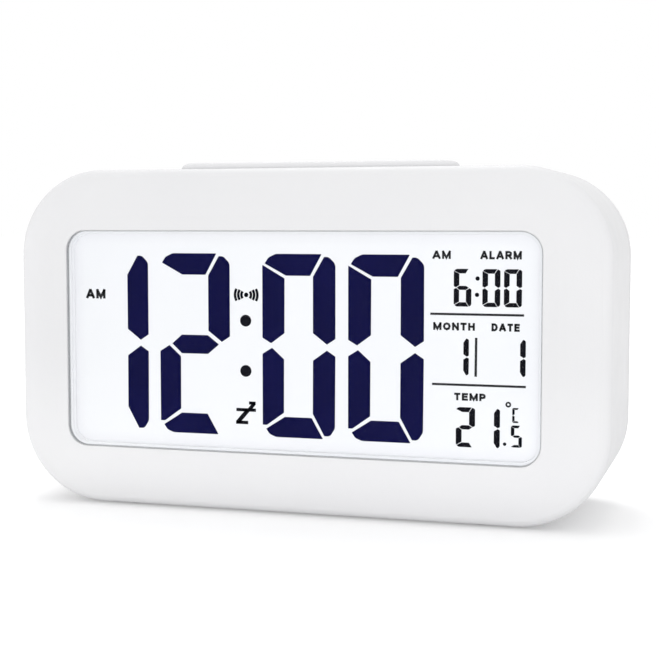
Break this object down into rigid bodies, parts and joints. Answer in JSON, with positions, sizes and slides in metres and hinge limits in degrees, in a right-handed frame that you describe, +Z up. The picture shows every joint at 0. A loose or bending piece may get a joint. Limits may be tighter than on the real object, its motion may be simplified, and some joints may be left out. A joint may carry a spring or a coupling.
{
  "type": "digital alarm clock",
  "caption": "Rounded white desk alarm clock with a wide liquid crystal display, a snooze bar on top, and keys, slide switch and battery door on the back.",
  "frame": {"origin": "middle of the bounding box at the height of the surface the clock stands on", "axes": "+X to the right seen from the front, +Y to the back, +Z up; the display faces -Y"},
  "size_m": [0.134, 0.045, 0.0773],
  "materials": {
    "case_white": "fine satin texture",
    "key_grey": "satin",
    "rubber_foot": "matte",
    "steel": "plated",
    "clear_window": "polished",
    "cell_glass": "polished",
    "film": "smooth film",
    "guide_clear": "polished",
    "sheet_white": "matte",
    "led_white": "moulded",
    "foam": "soft foam",
    "tray_white": "moulded",
    "silicone": "soft",
    "board_green": "lacquered",
    "black_resin": "cast",
    "can_metal": "drawn",
    "black_plastic": "moulded",
    "stem_white": "moulded",
    "cell_jacket": "printed jacket",
    "spring_steel": "nickel plated",
    "brass_disc": "lapped",
    "wire_red": "extruded",
    "wire_black": "extruded",
    "ribbon_grey": "extruded"
  },
  "bodies": {
    "clock": {"front_case": "case_white", "rear_case": "case_white", "case_screws": "steel", "feet": "rubber_foot", "lens": "clear_window", "lcd_gasket": "foam", "front_polarizer": "film", "lcd_glass_front": "cell_glass", "lcd_glass_rear": "cell_glass", "rear_polarizer": "film", "light_guide": "guide_clear", "reflector_sheet": "sheet_white", "backlight_leds": "led_white", "lcd_tray": "tray_white", "zebra_strip": "silicone", "tray_screws": "steel", "main_board": "board_green", "board_screws": "steel", "chip_blob": "black_resin", "crystal_can": "can_metal", "capacitors": "black_plastic", "thermistor": "black_resin", "snooze_switch": "black_plastic", "key_board": "board_green", "key_board_screws": "steel", "key_switches": "black_plastic", "slide_switch": "steel", "battery_1": "cell_jacket", "battery_2": "cell_jacket", "battery_3": "cell_jacket", "battery_springs": "spring_steel", "contact_links": "spring_steel", "contact_ends": "spring_steel", "buzzer_case": "black_plastic", "piezo_disc": "brass_disc", "battery_leads": "wire_red", "buzzer_leads": "wire_black", "key_ribbon": "ribbon_grey"},
    "snooze": {"snooze_bar": "case_white", "snooze_plunger": "stem_white"},
    "mode": {"mode_key": "key_grey", "mode_stem": "stem_white"},
    "set": {"set_key": "key_grey", "set_stem": "stem_white"},
    "up": {"up_key": "key_grey", "up_stem": "stem_white"},
    "down": {"down_key": "key_grey", "down_stem": "stem_white"},
    "slide": {"alarm_slide": "key_grey"},
    "door": {"battery_door": "case_white"}
  },
  "joints": [
    {"name": "snooze_press", "type": "slide", "parent": "clock", "child": "snooze", "axis": [0, 0, -1], "range_m": [0, 0.0008], "stiffness_N_per_m": 900, "springref_m": -0.0005},
    {"name": "mode_press", "type": "slide", "parent": "clock", "child": "mode", "axis": [0, -1, 0], "range_m": [0, 0.0007], "stiffness_N_per_m": 900, "springref_m": -0.0004},
    {"name": "set_press", "type": "slide", "parent": "clock", "child": "set", "axis": [0, -1, 0], "range_m": [0, 0.0007], "stiffness_N_per_m": 900, "springref_m": -0.0004},
    {"name": "up_press", "type": "slide", "parent": "clock", "child": "up", "axis": [0, -1, 0], "range_m": [0, 0.0007], "stiffness_N_per_m": 900, "springref_m": -0.0004},
    {"name": "down_press", "type": "slide", "parent": "clock", "child": "down", "axis": [0, -1, 0], "range_m": [0, 0.0007], "stiffness_N_per_m": 900, "springref_m": -0.0004},
    {"name": "alarm_slide_move", "type": "slide", "parent": "clock", "child": "slide", "axis": [1, 0, 0], "range_m": [0, 0.003]},
    {"name": "battery_door_hinge", "type": "hinge", "parent": "clock", "child": "door", "pos_m": [0, 0.022, 0.0071], "axis": [-1, 0, 0], "range_deg": [0, 80]}
  ]
}
